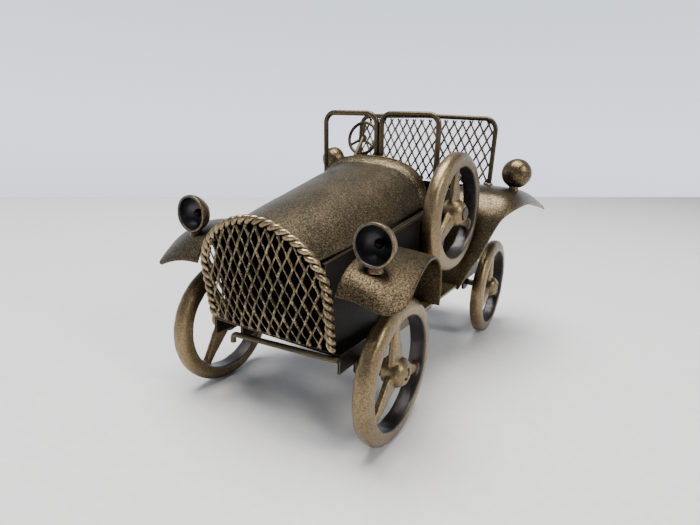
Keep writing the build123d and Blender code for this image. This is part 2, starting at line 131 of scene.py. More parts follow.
def sheet_mesh(point, rows, columns, thickness, inward=True):
    """Sheet metal with rounded edges on the surface that point(u, v) describes."""
    top = [[Vector(point(i / (rows - 1), j / (columns - 1))) for j in range(columns)] for i in range(rows)]
    normals = []
    for i in range(rows):
        line = []
        for j in range(columns):
            along = top[min(i + 1, rows - 1)][j] - top[max(i - 1, 0)][j]
            across = top[i][min(j + 1, columns - 1)] - top[i][max(j - 1, 0)]
            line.append(across.cross(along).normalized())
        normals.append(line)
    sign = -1 if inward else 1
    half = thickness / 2
    verts, faces = [], []
    for layer in (0, 1):
        for i in range(rows):
            for j in range(columns):
                verts.append(top[i][j] + normals[i][j] * sign * thickness * layer)
    faces += grid_faces(rows, columns)
    faces += [tuple(reversed(f)) for f in grid_faces(rows, columns, rows * columns)]
    border = [(0, j) for j in range(columns)] + [(i, columns - 1) for i in range(1, rows)]
    border += [(rows - 1, j) for j in range(columns - 2, -1, -1)] + [(i, 0) for i in range(rows - 2, 0, -1)]
    ridge = len(verts)
    for i, j in border:
        inner_i = min(max(i, 1), rows - 2)
        inner_j = min(max(j, 1), columns - 2)
        out = (top[i][j] - top[inner_i][inner_j]).normalized()
        verts.append(top[i][j] + normals[i][j] * sign * half + out * half * 0.4)
    count = len(border)
    for n, (i, j) in enumerate(border):
        m = (n + 1) % count
        k, l = border[m]
        upper_a, upper_b = i * columns + j, k * columns + l
        lower_a, lower_b = upper_a + rows * columns, upper_b + rows * columns
        faces.append((upper_a, upper_b, ridge + m, ridge + n))
        faces.append((ridge + n, ridge + m, lower_b, lower_a))
    return verts, faces


def lathe(profile, steps, place):
    """A profile of (axial, radial) points turned about the local X axis, then placed."""
    verts = []
    for axial, radial in profile:
        for k in range(steps):
            a = 2 * math.pi * k / steps
            verts.append(place @ Vector((axial, radial * math.cos(a), radial * math.sin(a))))
    return verts, grid_faces(len(profile), steps, wrap=True)


def tube(path, radius, sides=10):
    """A round bar along a list of points; radius may be a number or a function of the share along."""
    count = len(path)
    verts, faces = [], []
    up = None
    for i, p in enumerate(path):
        ahead = (path[min(i + 1, count - 1)] - path[max(i - 1, 0)]).normalized()
        if up is None:
            up = ahead.orthogonal().normalized()
        up = (up - ahead * up.dot(ahead)).normalized()
        side = ahead.cross(up)
        r = radius(i / (count - 1)) if callable(radius) else radius
        for k in range(sides):
            a = 2 * math.pi * k / sides
            verts.append(p + up * math.cos(a) * r + side * math.sin(a) * r)
    faces += grid_faces(count, sides, wrap=True)
    for ring, centre_point, flip in ((0, path[0], True), (count - 1, path[-1], False)):
        verts.append(centre_point)
        tip = len(verts) - 1
        for k in range(sides):
            a, b = ring * sides + k, ring * sides + (k + 1) % sides
            faces.append((b, a, tip) if flip else (a, b, tip))
    return verts, faces


def merge(parts):
    """Joins (verts, faces) pairs into one."""
    verts, faces = [], []
    for part_verts, part_faces in parts:
        shift = len(verts)
        verts += part_verts
        faces += [tuple(i + shift for i in face) for face in part_faces]
    return verts, faces


def mirrored(verts, side):
    return [Vector((v.x * side, v.y, v.z)) for v in verts]


def roughen(obj, amount, scale, seed=0):
    """Wears a mesh's surface away a little, unevenly."""
    mesh = obj.data
    moved = [v.co + v.normal * amount * (noise.noise(v.co * scale + Vector((seed, 0, 0))) - 0.5)
             for v in mesh.vertices]
    for v, co in zip(mesh.vertices, moved):
        v.co = co


def mark_painted_shade(obj, share):
    """Notes for each point of a mesh how strongly painted shade darkens it where it lies in a shaded hollow.
    """
    values = obj.data.attributes.new("painted_shade", "FLOAT", "POINT")
    for vertex, value in zip(obj.data.vertices, values.data):
        value.value = share(vertex)


# ---- materials ----

def new_material(name):
    material = bpy.data.materials.new(name)
    material.use_nodes = True
    material.node_tree.nodes.clear()
    return material


METALLIC = 0.9
BLOTCH_SCALE = 60
# How strongly painted shade darkens the points marked as shaded hollows.
PAINTED_SHADE_STRENGTH = 0.85


def patina(name, dark, mid, bright, pits=0.5, pit_scale=2800, blotch=0.2, shine=0.3, wear=0.8,
           roughness=0.42, relief=0.04, recess_patina_and_shade=0.9, patina_and_shade_reach=7.0, wear_radius=0.5, painted_shade_tone=None):
    """Antique bronze: dark pits, dark patina in recesses with painted shade under things and between parts, a
    mid tone, painted shade on marked points, and bright metal rubbed through on the edges.
    """
    material = new_material(name)
    nodes, links = material.node_tree.nodes, material.node_tree.links

    def node(kind, **settings):
        made = nodes.new(kind)
        for key, value in settings.items():
            setattr(made, key, value)
        return made

    def texture(scale, detail, rough):
        made = node("ShaderNodeTexNoise")
        made.inputs["Scale"].default_value = scale
        made.inputs["Detail"].default_value = detail
        made.inputs["Roughness"].default_value = rough
        links.new(place.outputs["Object"], made.inputs["Vector"])
        return made.outputs["Fac"]

    def ranged(value, low, high, to_low=0.0, to_high=1.0):
        made = node("ShaderNodeMapRange")
        made.inputs["From Min"].default_value = low
        made.inputs["From Max"].default_value = high
        made.inputs["To Min"].default_value = to_low
        made.inputs["To Max"].default_value = to_high
        links.new(value, made.inputs["Value"])
        return made.outputs["Result"]

    def maths(operation, a, b):
        made = node("ShaderNodeMath", operation=operation)
        for socket, value in zip(made.inputs, (a, b)):
            if isinstance(value, float):
                socket.default_value = value
            else:
                links.new(value, socket)
        return made.outputs["Value"]

    def mix(factor, a, b):
        made = node("ShaderNodeMix", data_type="RGBA")
        links.new(factor, made.inputs["Factor"])
        for key, value in (("A", a), ("B", b)):
            socket = [s for s in made.inputs if s.name == key and s.type == "RGBA"][0]
            if isinstance(value, tuple):
                socket.default_value = value + (1.0,)
            else:
                links.new(value, socket)
        return [s for s in made.outputs if s.type == "RGBA"][0]

    place = node("ShaderNodeTexCoord")
    large = texture(BLOTCH_SCALE, 2, 0.5)
    fine = texture(pit_scale, 4, 0.7)
    medium = texture(pit_scale * 0.3, 3, 0.6)

    tone = mix(ranged(large, 0.35, 0.68, 0.0, blotch), mid, bright)
    speckle = maths("ADD", maths("MULTIPLY", fine, 0.6), maths("MULTIPLY", medium, 0.4))
    grain = ranged(speckle, 0.525, 0.565, 0.0, shine)
    tone = mix(grain, tone, bright)
    speckle = maths("ADD", speckle, ranged(large, 0.3, 0.7, -0.02, 0.02))
    tone = mix(ranged(speckle, 0.508, 0.484, 0.0, pits), tone, dark)

    bevel = node("ShaderNodeBevel", samples=4)
    bevel.inputs["Radius"].default_value = wear_radius * MM
    geometry = node("ShaderNodeNewGeometry")
    facing = node("ShaderNodeVectorMath", operation="DOT_PRODUCT")
    links.new(bevel.outputs["Normal"], facing.inputs[0])
    links.new(geometry.outputs["Normal"], facing.inputs[1])
    rubbed = ranged(facing.outputs["Value"], 0.98, 0.80, 0.0, wear)
    rubbed = maths("MULTIPLY", rubbed, ranged(medium, 0.3, 0.55, 0.35, 1.0))
    tone = mix(rubbed, tone, bright)

    # Painted shade: ambient occlusion darkens the tone towards the dark colour under things and between
    # parts, along with the dark patina in recesses.
    shade = node("ShaderNodeAmbientOcclusion", samples=6)
    shade.inputs["Distance"].default_value = patina_and_shade_reach * MM
    tone = mix(ranged(shade.outputs["AO"], 0.85, 0.25, 0.0, recess_patina_and_shade), tone, dark)
    # Painted shade: points marked on the wheels' inner rim walls and inside the lamp cups take a dark
    # blue-grey tone.
    painted_shade = node("ShaderNodeAttribute", attribute_name="painted_shade")
    in_painted_shade = ranged(painted_shade.outputs["Fac"], 0.0, 1.0, 0.0, PAINTED_SHADE_STRENGTH)
    tone = mix(in_painted_shade, tone, painted_shade_tone or dark)

    shader = node("ShaderNodeBsdfPrincipled")
    shader.inputs["Metallic"].default_value = METALLIC
    links.new(tone, shader.inputs["Base Color"])
    links.new(ranged(fine, 0.3, 0.7, roughness + 0.16, roughness - 0.06), shader.inputs["Roughness"])
    bump = node("ShaderNodeBump")
    bump.inputs["Strength"].default_value = 0.6
    bump.inputs["Distance"].default_value = relief * MM
    links.new(maths("ADD", fine, medium), bump.inputs["Height"])
    links.new(bump.outputs["Normal"], shader.inputs["Normal"])
    out = node("ShaderNodeOutputMaterial")
    links.new(shader.outputs["BSDF"], out.inputs["Surface"])
    return material


def plain_surface(name, colour, speckle, roughness):
    """A pale matt surface with a faint speckle."""
    material = new_material(name)
    nodes, links = material.node_tree.nodes, material.node_tree.links
    place = nodes.new("ShaderNodeTexCoord")
    grain = nodes.new("ShaderNodeTexNoise")
    grain.inputs["Scale"].default_value = 300
    grain.inputs["Detail"].default_value = 4
    links.new(place.outputs["Object"], grain.inputs["Vector"])
    ramp = nodes.new("ShaderNodeMapRange")
    ramp.inputs["From Min"].default_value = 0.35
    ramp.inputs["From Max"].default_value = 0.65
    links.new(grain.outputs["Fac"], ramp.inputs["Value"])
    mix = nodes.new("ShaderNodeMix")
    mix.data_type = "RGBA"
    links.new(ramp.outputs["Result"], mix.inputs["Factor"])
    sockets = [s for s in mix.inputs if s.type == "RGBA"]
    sockets[0].default_value = tuple(c * (1 - speckle) for c in colour) + (1.0,)
    sockets[1].default_value = colour + (1.0,)
    shader = nodes.new("ShaderNodeBsdfPrincipled")
    shader.inputs["Roughness"].default_value = roughness
    links.new([s for s in mix.outputs if s.type == "RGBA"][0], shader.inputs["Base Color"])
    out = nodes.new("ShaderNodeOutputMaterial")
    links.new(shader.outputs["BSDF"], out.inputs["Surface"])
    return material


# UMBER is the dark of the pits and patina, and also of the painted shade in recesses, under things and on the
# near-black sheets.
UMBER = (0.007, 0.006, 0.005)
BRONZE = (0.100, 0.071, 0.038)
OLIVE = (0.052, 0.040, 0.024)
DULL_BRONZE = (0.055, 0.041, 0.023)
OCHRE = (0.072, 0.051, 0.027)
OLD_GOLD = (0.33, 0.245, 0.125)
GOLD = (0.46, 0.345, 0.18)
BRASS = (0.178, 0.129, 0.070)
PALE_GOLD = (0.78, 0.62, 0.36)
# Dark blue-grey of painted shade on the wheels' inner rim walls and inside the lamp cups.
PAINTED_SHADE_GREY = (0.052, 0.053, 0.062)

SHEET_BRONZE = patina("sheet_bronze", UMBER, OCHRE, OLD_GOLD, pits=0.88, pit_scale=6800, blotch=0.05,
                      shine=0.3, roughness=0.43)
HOOD_BRONZE = patina("hood_bronze", UMBER, OLIVE, GOLD, pits=0.65, pit_scale=6000, blotch=0.08, shine=0.3,
                     roughness=0.42)
REAR_BRONZE = patina("rear_bronze", UMBER, OLIVE, GOLD, pits=0.55, pit_scale=6400, blotch=0.2, shine=0.25,
                     roughness=0.33)
CAST_BRONZE = patina("cast_bronze", UMBER, BRASS, GOLD, pits=0.38, pit_scale=5600, blotch=0.2, shine=0.2,
                     wear=0.8, wear_radius=0.8, relief=0.03, roughness=0.34, painted_shade_tone=PAINTED_SHADE_GREY)
MESH_BRONZE = patina("mesh_bronze", UMBER, DULL_BRONZE, PALE_GOLD, pits=0.4, blotch=0.15, wear=1.0,
                     roughness=0.28, patina_and_shade_reach=2.0, wear_radius=0.14)
ROPE_BRONZE = patina("rope_bronze", UMBER, BRASS, PALE_GOLD, pits=0.35, blotch=0.25, wear=0.6,
                     roughness=0.28, recess_patina_and_shade=1.0, patina_and_shade_reach=1.6, wear_radius=0.3)
LAMP_BRONZE = patina("lamp_bronze", UMBER, BRONZE, GOLD, pits=0.6, pit_scale=6000, blotch=0.25, shine=0.3,
                     wear=1.0, roughness=0.32, painted_shade_tone=PAINTED_SHADE_GREY)
WIRE_BRONZE = patina("wire_bronze", UMBER, OLIVE, GOLD, pits=0.3, pit_scale=5000, blotch=0.1,
                     shine=0.05, wear=0.3, roughness=0.34)
# Painted shade: a near-black bronze for parts that sit in shade under and inside the car, and for the bulbs.
PAINTED_SHADE_SHEET = patina("dark_sheet", UMBER, UMBER, GOLD, pits=0.3, blotch=0.006, shine=0.012,
                    wear=0.45, roughness=0.38)


# ---- fenders: stations of (behind the front axle, height at the body, height at the edge, edge X) ----

FENDER_INNER = 25.2
FRONT_FENDER = (
    (-21.0, 49.6, 45.4, 43.7),
    (-19.2, 53.0, 47.2, 43.6),
    (-16.5, 55.6, 49.6, 43.4),
    (-12.5, 57.4, 52.7, 43.1),
    (-7.5, 58.6, 55.2, 42.5),
    (-2.0, 59.2, 57.0, 41.8),
    (4.0, 59.0, 57.6, 41.1),
    (9.0, 58.1, 56.8, 40.8),
    (12.6, 55.7, 54.5, 40.8),
    (14.9, 51.6, 50.8, 40.8),
    (15.8, 46.4, 46.2, 40.8),
    (15.8, 40.3, 40.3, 40.8),
)
REAR_FENDER = (
    (54.2, 34.8, 34.2, 34.9),
    (57.8, 42.6, 41.8, 37.7),
    (60.4, 49.0, 47.1, 40.2),
    (62.9, 57.0, 54.7, 42.7),
    (65.2, 63.0, 61.0, 45.1),
    (68.6, 67.6, 64.3, 47.6),
    (73.0, 70.9, 65.9, 49.5),
    (81.0, 72.5, 66.8, 51.0),
    (92.0, 72.2, 66.6, 51.7),
    (105.0, 70.2, 65.4, 51.7),
    (117.0, 66.8, 63.4, 51.7),
    (128.2, 62.6, 60.8, 51.7),
)
FRONT_DROOP, REAR_DROOP = 2.2, 7.0
LEFT_CORNER, RIGHT_CORNER = 6.5, 1.6
RIGHT_LIFT = 1.0


def fender_point(stations, droop, corner=0.0, lift=0.0):
    """Points of a fender's sheet; its front outer corner may be rounded off and its middle lifted."""
    columns = list(zip(*stations))
    front, rear = stations[0][0], stations[-1][0]

    def point(u, v):
        back, crown, edge, outer = (through(c, u) for c in columns)
        short = 0.0
        if corner and back - front < corner:
            short = corner - math.sqrt(corner ** 2 - (corner - (back - front)) ** 2)
        x = blend(FENDER_INNER, outer - short, v)
        across = (x - FENDER_INNER) / (outer - FENDER_INNER)
        share = min(max((back - front) / (rear - front), 0.0), 1.0)
        z = blend(crown, edge, across ** droop) + lift * math.sin(math.pi * share ** 0.6)
        ripple = 0.16 * noise.noise(Vector((x * 0.11, back * 0.09, 3.0)))
        return Vector((x * MM, behind_axle(back), (z + ripple) * MM))
    return point


def make_fenders():
    for side, sign in SIDES:
        corner, lift = (LEFT_CORNER, 0.0) if sign > 0 else (RIGHT_CORNER, RIGHT_LIFT)
        for end, point, rows, material in (
            ("front", fender_point(FRONT_FENDER, FRONT_DROOP, corner, lift), 80, SHEET_BRONZE),
            ("rear", fender_point(REAR_FENDER, REAR_DROOP), 110, REAR_BRONZE),
        ):
            verts, faces = sheet_mesh(point, rows, 36, SHEET)
            add_piece(f"{end}_fender_{side}_sheet", mirrored(verts, sign), faces, material=material,
                      replaces=[f"{end}_fender_{side}"])


# ---- hood ----

GRILLE_FOOT_BACK, GRILLE_TOP_BACK = -15.6, -22.4
GRILLE_HALF, GRILLE_SPRING, GRILLE_RISE, GRILLE_FOOT = 22.4, 48.3, 17.8, 31.0
GRILLE_SHIFT, GRILLE_POWER = -0.8, 1.85
COWL_BACK, COWL_HALF, COWL_SPRING, COWL_RISE = 43.0, 23.4, 65.7, 17.4
HOOD_EDGE_FRONT, HOOD_EDGE_REAR = 57.0, 66.0
COWL_POWER = 2.5
ROPE = 1.5
ROPE_LAY = 5.4
ROPE_FOOT_STEPS, ROPE_ARCH_STEPS = 45, 150
CREASE = 0.93
HOOD_SINK = 1.5


def grille_back(z):
    """How far behind the front axle the grille's back is, at a height."""
    top = GRILLE_SPRING + GRILLE_RISE
    return blend(GRILLE_FOOT_BACK, GRILLE_TOP_BACK, (z - GRILLE_FOOT) / (top - GRILLE_FOOT))


def hood_point():
    """The hood from grille to cowl. It sinks towards a crease just ahead of the cockpit, then flares up."""
    def point(s, v):
        sink = HOOD_SINK * s / CREASE
        if s > CREASE:
            step, flare = smooth_step((s - CREASE) / 0.025), smooth_step((s - CREASE) / (1 - CREASE))
            sink = HOOD_SINK * (1 - 0.6 * step - 0.4 * flare)
        half = blend(GRILLE_HALF, COWL_HALF, s) - sink * 0.6
        spring = blend(GRILLE_SPRING, COWL_SPRING, s)
        rise = blend(GRILLE_RISE, COWL_RISE, s) - sink
        power = blend(GRILLE_POWER, COWL_POWER, s)
        edge = blend(HOOD_EDGE_FRONT, HOOD_EDGE_REAR, s)
        low = math.asin(min(max((edge - spring) / rise, 0.0), 1.0) ** (power / 2))
        angle = blend(low, math.pi - low, v)
        x = half * math.copysign(abs(math.cos(angle)) ** (2 / power), math.cos(angle))
        z = spring + rise * math.sin(angle) ** (2 / power)
        front = grille_back(GRILLE_SPRING + GRILLE_RISE * math.sin(angle)) + ROPE + 0.4
        dent = 0.22 * noise.noise(Vector((x * 0.07, s * 5.0, 1.0)))
        dent -= 0.5 * smooth_step((s - 0.75) / 0.2) * abs(noise.noise(Vector((x * 0.2, s * 16.0, 7.0))))
        x += GRILLE_SHIFT * (1 - s)
        return Vector((x * MM, behind_axle(blend(front, COWL_BACK, s)), (z + dent) * MM))
    return point


def make_hood():
    verts, faces = sheet_mesh(hood_point(), 120, 80, SHEET, inward=False)
    add_piece("hood_sheet", verts, faces, material=HOOD_BRONZE, replaces=["hood"])
    edge = hood_point()
    verts, faces = tube([edge(0.99, 0.01 + 0.98 * i / 90) for i in range(91)], 0.5 * MM)
    lip = add_piece("hood_rolled_lip", verts, faces, material=SHEET_BRONZE)
    roughen(lip, 0.25 * MM, 500, seed=2)


# ---- grille ----

def grille_frame():
    """The grille's own place: x across, y up along its lean, z forward out of it."""
    origin = Vector((GRILLE_SHIFT * MM, behind_axle(GRILLE_FOOT_BACK), GRILLE_FOOT * MM))
    rise = (GRILLE_SPRING + GRILLE_RISE - GRILLE_FOOT) * MM
    up = Vector((0, (GRILLE_TOP_BACK - GRILLE_FOOT_BACK) * MM, rise))
    length = up.length / MM
    up.normalize()
    out = Vector((1, 0, 0)).cross(up)
    return origin, up, out, length


def twisted_rope(path, radius, twist):
    """Two strands wound round each other along a path of points."""
    lengths = [0.0]
    for a, b in zip(path, path[1:]):
        lengths.append(lengths[-1] + (b - a).length)
    strand = radius * 0.54
    off = radius - strand
    parts = []
    for start in (0.0, math.pi):
        line = []
        for i, p in enumerate(path):
            ahead = (path[min(i + 1, len(path) - 1)] - path[max(i - 1, 0)]).normalized()
            side = ahead.cross(Vector((0, 1, 0))).normalized()
            front = side.cross(ahead)
            a = start + 2 * math.pi * lengths[i] / twist
            line.append(p + (side * math.cos(a) + front * math.sin(a)) * off)
        parts.append(tube(line, strand, sides=10))
    return merge(parts)


def make_rope():
    """The twisted wire round the grille: up one foot, over the arch and down the other foot."""
    origin, up, _, length = grille_frame()
    spring = length - GRILLE_RISE
    flat = [(GRILLE_HALF, blend(0.4, spring, i / ROPE_FOOT_STEPS)) for i in range(ROPE_FOOT_STEPS)]
    for i in range(ROPE_ARCH_STEPS + 1):
        angle = math.pi * i / ROPE_ARCH_STEPS
        across, high = math.cos(angle), math.sin(angle)
        x = GRILLE_HALF * math.copysign(abs(across) ** (2 / GRILLE_POWER), across)
        flat.append((x, spring + GRILLE_RISE * abs(high) ** (2 / GRILLE_POWER)))
    flat += [(-x, y) for x, y in reversed(flat[:ROPE_FOOT_STEPS])]
    path = [origin + Vector((x * MM, 0, 0)) + up * (y * MM) for x, y in flat]
    verts, faces = twisted_rope(path, ROPE * MM, ROPE_LAY * MM)
    add_piece("grille_twisted_rope", verts, faces, material=ROPE_BRONZE,
              replaces=["grille_rope"])


STRAND_SIDES = 6
STRAND_TILT = 0.75
STEPS_PER_WAVE = 10
GRILLE_PITCH = (3.55, 6.5)
SEAT_PITCH = (3.8, 6.7)
GRILLE_BULGE = 2.4
SEAT_CORNER = 4.0


def ribbon(points, width, thickness, tilt, out):
    """A flat strand along points, leaning over by tilt, as expanded metal does."""
    verts, faces = [], []
    count = len(points)
    for i, p in enumerate(points):
        ahead = (points[min(i + 1, count - 1)] - points[max(i - 1, 0)]).normalized()
        side = ahead.cross(out).normalized()
        wide = side * math.cos(tilt) + out * math.sin(tilt)
        thick = ahead.cross(wide).normalized()
        for a in range(STRAND_SIDES):
            turn = 2 * math.pi * a / STRAND_SIDES + math.pi / STRAND_SIDES
            verts.append(p + wide * math.cos(turn) * width / 2 + thick * math.sin(turn) * thickness / 2)
    faces += grid_faces(count, STRAND_SIDES, wrap=True)
    faces.append(tuple(range(STRAND_SIDES - 1, -1, -1)))
    faces.append(tuple(range((count - 1) * STRAND_SIDES, count * STRAND_SIDES)))
    return verts, faces


def expanded_mesh(place, inside, half_width, height, pitch, width, thickness, seed):
    """Expanded metal: wavy strands that meet at the corners of diamonds, kept where inside(x, y) holds."""
    rng = random.Random(seed)
    pitch_x, pitch_y = pitch
    runs = []
    columns = 2 * int(2 * half_width / pitch_x) + 4
    start = -pitch_x * columns / 4
    for c in range(columns + 1):
        lean = 1 if c % 2 else -1
        x0 = start + c * pitch_x / 2
        run = []
        steps = int(height / (pitch_y / 2) * STEPS_PER_WAVE) + STEPS_PER_WAVE
        wander = rng.uniform(-0.07, 0.07)
        for i in range(steps + 1):
            t = i / STEPS_PER_WAVE
            wave = math.asin(0.9 * math.cos(math.pi * t)) / math.asin(0.9)
            x = x0 + lean * wave * (pitch_x / 4 - width * 0.2) + wander
            x += 0.2 * noise.noise(Vector((x0 * 0.15, t * 0.4, seed)))
            y = -pitch_y * 0.25 + t * pitch_y / 2
            if inside(x, y):
                run.append((x, y))
                continue
            if len(run) > 1:
                runs.append(run)
            run = []
        if len(run) > 1:
            runs.append(run)
    out = (place(0, 0, 1) - place(0, 0)).normalized()
    solids = []
    for n, run in enumerate(runs):
        points = [place(x, y) for x, y in run]
        tilt = STRAND_TILT if n % 2 else -STRAND_TILT
        solids.append(ribbon(points, width * MM, thickness * MM, tilt, out))
    return merge(solids)


def make_grille_mesh():
    origin, up, out, length = grille_frame()
    spring = length - GRILLE_RISE
    reach = GRILLE_HALF - 0.8
    rise = GRILLE_RISE - (GRILLE_HALF - reach)

    def bulge(x, y):
        across = max(0.0, 1 - (x / reach) ** 2)
        along = max(0.0, 1 - ((y - length * 0.45) / (length * 0.58)) ** 2)
        return GRILLE_BULGE * across * along

    def place(x, y, proud=0.0):
        return origin + Vector((x * MM, 0, 0)) + up * (y * MM) + out * ((bulge(x, y) + 0.2 + proud) * MM)

    def inside(x, y):
        if y < 0.1 or abs(x) > reach:
            return False
        return y < spring or abs(x / reach) ** GRILLE_POWER + ((y - spring) / rise) ** GRILLE_POWER < 1

    verts, faces = expanded_mesh(place, inside, reach, length, GRILLE_PITCH, 1.05, 0.5, seed=4)
    add_piece("grille_expanded_mesh", verts, faces, material=MESH_BRONZE,
              replaces=["grille_mesh"])


# ---- seat back ----

def make_seat_mesh():
    low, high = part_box("seat_back_mesh")
    middle = centre("seat_back_mesh")
    half, height = (high[0] - low[0]) / 2 / MM, (high[2] - low[2]) / MM

    def place(x, y, proud=0.0):
        return Vector((x * MM, middle.y - proud * MM, low[2] + y * MM))

    def inside(x, y):
        if abs(x) > half + 0.3 or y < -0.1 or y > height + 0.4:
            return False
        dx, dy = abs(x) - (half + 0.3 - SEAT_CORNER), y - (height + 0.4 - SEAT_CORNER)
        return dx < 0 or dy < 0 or math.hypot(dx, dy) < SEAT_CORNER

    verts, faces = expanded_mesh(place, inside, half, height + 1, SEAT_PITCH, 0.95, 0.7, seed=9)
    add_piece("seat_back_expanded_mesh", verts, faces, material=MESH_BRONZE,
              replaces=["seat_back_mesh"])


# ---- wheels ----

RIM_DEPTH, RIM_HALF, RIM_WALL = 5.2, 2.9, 1.4
RIM_STEPS = 96
SPOKES = 3
SPOKE_STEPS, SPOKE_SIDES = 8, 12
SPOKE_SQUARENESS = 0.55
CASTING_VOXEL = 0.32 * MM
CASTING_PASSES = 5
SPOKE_PHASE = {
    "wheel_front_left": 100.0,
    "wheel_front_right": 116.0,
    "wheel_rear_left": 95.0,
    "wheel_rear_right": 70.0,
    "spare_wheel": 98.0,
}
SPARE_YAW = 4.0


def rim_profile(radius):
    """Half round outside, a raised lip at the inner edge and a flat inner wall, as (axial, radial)."""
    inner = radius - RIM_DEPTH
    points = []
    for i in range(25):
        a = math.pi * (i / 24 - 0.5)
        axial = RIM_HALF * math.copysign(abs(math.sin(a)) ** 0.75, math.sin(a))
        points.append((axial, inner + RIM_WALL + (RIM_DEPTH - RIM_WALL) * math.cos(a) ** 0.9))
    points += [(RIM_HALF + 0.1, inner + 0.7), (RIM_HALF - 0.2, inner + 0.1), (RIM_HALF - 0.8, inner)]
    points += [(-RIM_HALF + 0.8, inner), (-RIM_HALF + 0.2, inner + 0.1), (-RIM_HALF - 0.1, inner + 0.7)]
    return points


def hub_profile():
    """A boss that is domed outward, with a dimple for the axle's end."""
    return [(-3.2, 0.01), (-3.2, 3.4), (-2.8, 4.2), (0.5, 4.7), (2.2, 4.6), (3.3, 4.0), (4.1, 3.1),
            (4.5, 2.3), (4.1, 1.75), (3.1, 1.6), (3.0, 0.01)]


def wheel_mesh(radius, phase, place):
    inner = radius - RIM_DEPTH
    loop = rim_profile(radius)
    rim_verts, rim_faces = lathe(loop + loop[:1], RIM_STEPS, Matrix())
    parts = [(rim_verts, rim_faces), lathe(hub_profile(), 40, Matrix())]
    for k in range(SPOKES):
        turn = Matrix.Rotation(math.radians(phase + 360 / SPOKES * k), 4, "X")
        spoke_verts = []
        for i in range(SPOKE_STEPS + 1):
            t = i / SPOKE_STEPS
            along = blend(2.0, inner + 1.2, t)
            wide = blend(3.3, 1.75, smooth_step(t * 1.1)) + 0.9 * max(0.0, t - 0.88) / 0.12
            thick = blend(1.35, 1.15, t)
            for a in range(SPOKE_SIDES):
                angle = 2 * math.pi * a / SPOKE_SIDES
                c, s = math.cos(angle), math.sin(angle)
                x = thick * math.copysign(abs(c) ** SPOKE_SQUARENESS, c)
                y = wide * math.copysign(abs(s) ** SPOKE_SQUARENESS, s)
                spoke_verts.append(turn @ Vector((x + 0.2, along, y)))
        faces = grid_faces(SPOKE_STEPS + 1, SPOKE_SIDES, wrap=True)
        last = SPOKE_STEPS * SPOKE_SIDES
        faces += [tuple(range(SPOKE_SIDES - 1, -1, -1)), tuple(range(last, last + SPOKE_SIDES))]
        parts.append((spoke_verts, faces))
    verts, faces = merge(parts)
    return [place @ (Vector(v) * MM) for v in verts], faces


def cast(obj, voxel, passes):
    """Melts overlapping solids into one casting with soft fillets."""
    bpy.context.view_layer.objects.active = obj
    remesh = obj.modifiers.new("melt", "REMESH")
    remesh.mode = "VOXEL"
    remesh.voxel_size = voxel
    remesh.use_smooth_shade = True
    soften = obj.modifiers.new("soften", "SMOOTH")
    soften.factor = 0.5
    soften.iterations = passes
    depsgraph = bpy.context.evaluated_depsgraph_get()
    done = bpy.data.meshes.new_from_object(obj.evaluated_get(depsgraph))
    obj.modifiers.clear()
    old = obj.data
    name = old.name
    obj.data = done
    bpy.data.meshes.remove(old)
    done.name = name
    done.polygons.foreach_set("use_smooth", [True] * len(done.polygons))


def make_wheel(node, body):
    side = 1 if centre(node).x > 0 else -1
    turn = Matrix.Rotation(0 if side > 0 else math.pi, 4, "Z")
    phase = SPOKE_PHASE[node] if side > 0 else 180 - SPOKE_PHASE[node]
    radius = size(node).z / 2 / MM
    if node == "spare_wheel":
        turn = Matrix.Rotation(math.radians(-SPARE_YAW), 4, "Z")
    verts, faces = wheel_mesh(radius, phase, Matrix.Translation(centre(node)) @ turn)
    wheel = add_piece(node + "_casting", verts, faces, body=body, material=CAST_BRONZE,
                      replaces=[node])
    cast(wheel, CASTING_VOXEL, CASTING_PASSES)
    roughen(wheel, 0.12 * MM, 330, seed=SPOKE_PHASE[node])
    middle, inner = centre(node), (radius - RIM_DEPTH + 0.9) * MM

    # The share of painted shade, in a dark blue-grey, on the rim's inner wall, which faces the hub.
    def inner_wall(vertex):
        arm = (vertex.co - middle) * Vector((0, 1, 1))
        if arm.length > inner or arm.length < inner * 0.8:
            return 0.0
        return smooth_step(-vertex.normal.dot(arm.normalized()) * 1.6 - 0.3)

    mark_painted_shade(wheel, inner_wall)


def make_wheels():
    for node in SPOKE_PHASE:
        make_wheel(node, BODY if node == "spare_wheel" else node + "_body")


PEENED_END = [(-0.4, 1.5), (0.0, 1.55), (0.45, 1.4), (0.75, 0.9), (0.85, 0.02)]


def make_axle_ends():
    """The peened ends of the axles, in the dimples of the hubs."""
    for end in ("front", "rear"):
        middle = centre(end + "_axle")
        reach = size(end + "_axle").x / 2
        parts = []
        for sign in (1, -1):
            place = Matrix.Translation(middle + Vector((sign * reach, 0, 0)))
            parts.append(lathe([(a * MM * sign, r * MM) for a, r in PEENED_END], 24, place))
        verts, faces = merge(parts)
        add_piece(end + "_axle_peened_ends", verts, faces, material=CAST_BRONZE,
                  replaces=[end + "_axle_caps"])


# ---- lamps ----

LAMP_LIP, LAMP_WALL = 0.5 * MM, 0.7 * MM
BULB_PROFILE = [(0.0, 0.02), (0.12, 0.28), (0.35, 0.42), (0.6, 0.36), (0.78, 0.22), (0.85, 0.24), (1.0, 0.24)]


def cup_profile(radius, wall, lip):
    """Outside of the ball, round the rolled lip and back down the inside. Axial points to the back."""
    points = []
    for i in range(17):
        a = math.pi / 2 * i / 16
        points.append((radius * math.cos(a), radius * math.sin(a) + 0.0001))
    for i in range(1, 12):
        a = 2 * math.pi * (i / 14)
        points.append((-lip * math.sin(a) * 0.9, radius - wall / 2 + lip * math.cos(a)))
    inner = radius - wall
    for i in range(16, -1, -1):
        a = math.pi / 2 * i / 16
        points.append((inner * math.cos(a), inner * math.sin(a) + 0.0001))
    return points


